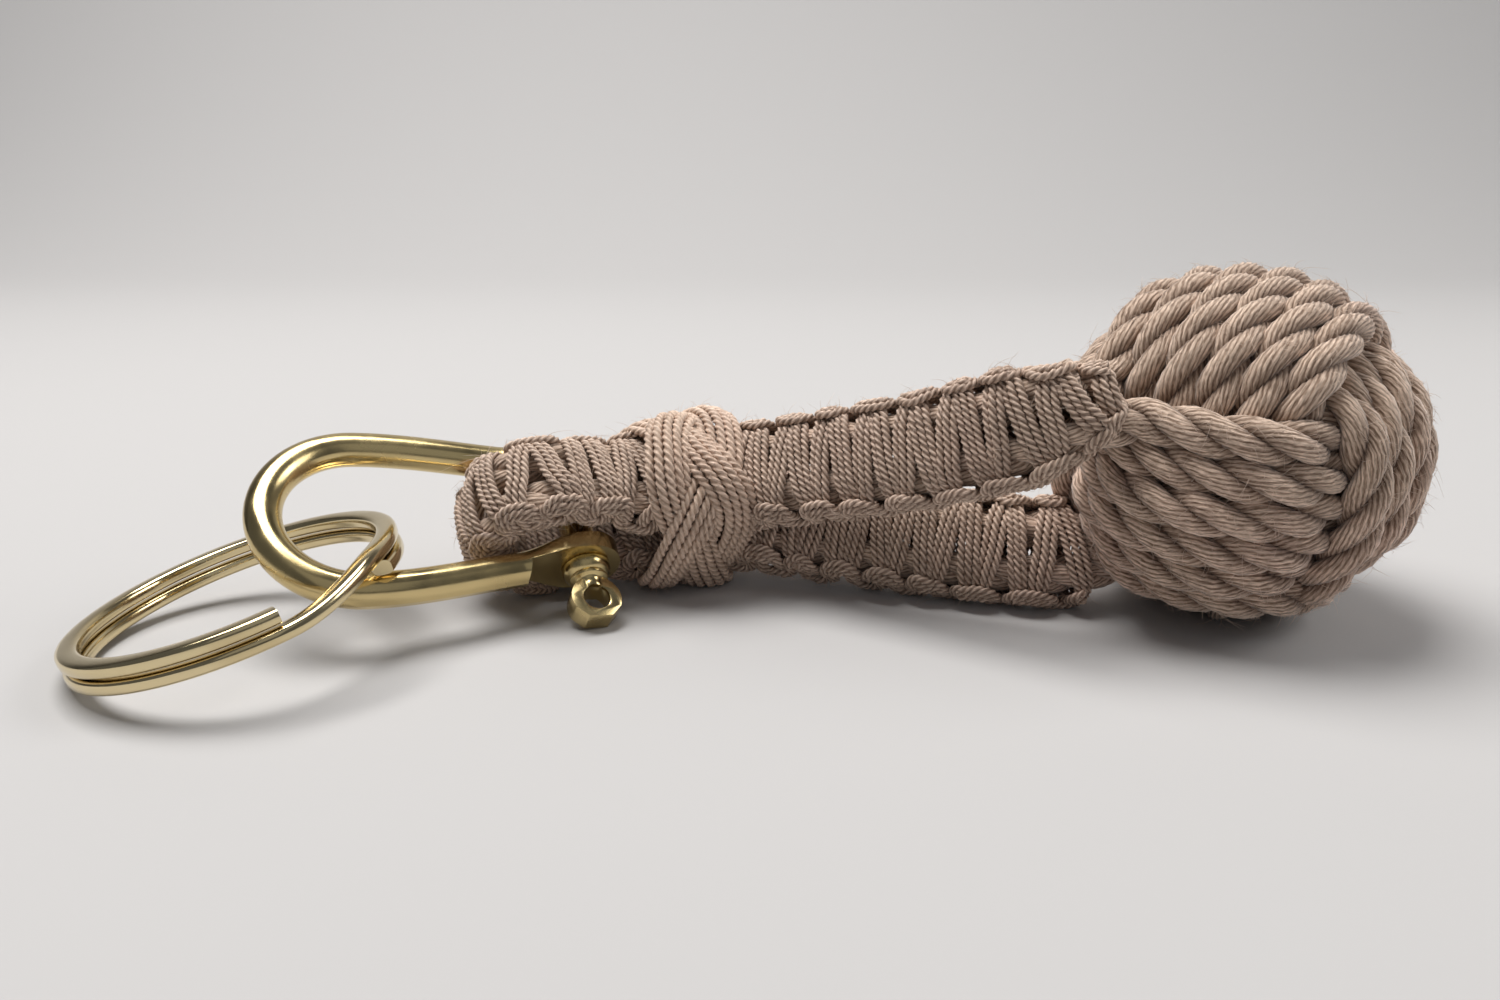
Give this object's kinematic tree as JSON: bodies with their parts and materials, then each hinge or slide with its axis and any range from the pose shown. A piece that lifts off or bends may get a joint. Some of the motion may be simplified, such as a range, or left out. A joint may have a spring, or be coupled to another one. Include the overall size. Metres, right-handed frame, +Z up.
{
  "type": "monkey fist knot key fob",
  "caption": "Monkey fist knot on a corded sinnet loop, cinched by a woven collar, with a brass screw-pin shackle and a split ring that swings on it.",
  "frame": {"origin": "middle of the base of the box round the fob, as it lies on a table", "axes": "+X from the split ring to the ball, +Z up, +Y away from the pin's eye"},
  "size_m": [0.141, 0.0486, 0.0376],
  "materials": {
    "cotton_cord": "matt laid cotton cord, taupe",
    "cotton_twine": "soft sheen of fine twisted cotton twine, taupe",
    "core_wood": "plain turned wood, hidden",
    "brass": "brushed and polished, light handling marks"
  },
  "bodies": {
    "lanyard": {"fist_cord": "cotton_cord", "fist_core_ball": "core_wood", "loop_cord_upper": "cotton_cord", "loop_cord_lower": "cotton_cord", "sinnet_upper_arm": "cotton_twine", "sinnet_bight": "cotton_twine", "sinnet_lower_arm": "cotton_twine", "turks_head_collar": "cotton_twine"},
    "shackle": {"shackle_bow": "brass"},
    "pin": {"shackle_pin": "brass"},
    "ring": {"split_ring": "brass"}
  },
  "joints": [
    {"name": "shackle_swing", "type": "hinge", "parent": "lanyard", "child": "shackle", "pos_m": [-0.02191, 0.00905, 0.0095], "axis": [0.2761, -0.7744, -0.5693], "range_deg": [-100, 125]},
    {"name": "pin_draw", "type": "slide", "parent": "shackle", "child": "pin", "axis": [0.2761, -0.7744, -0.5693], "range_m": [0, 0.018]},
    {"name": "ring_swing", "type": "hinge", "parent": "shackle", "child": "ring", "pos_m": [-0.0374, -0.00633, 0.00646], "axis": [-0.8813, -0.4674, 0.0694], "range_deg": [-18, 105]}
  ]
}
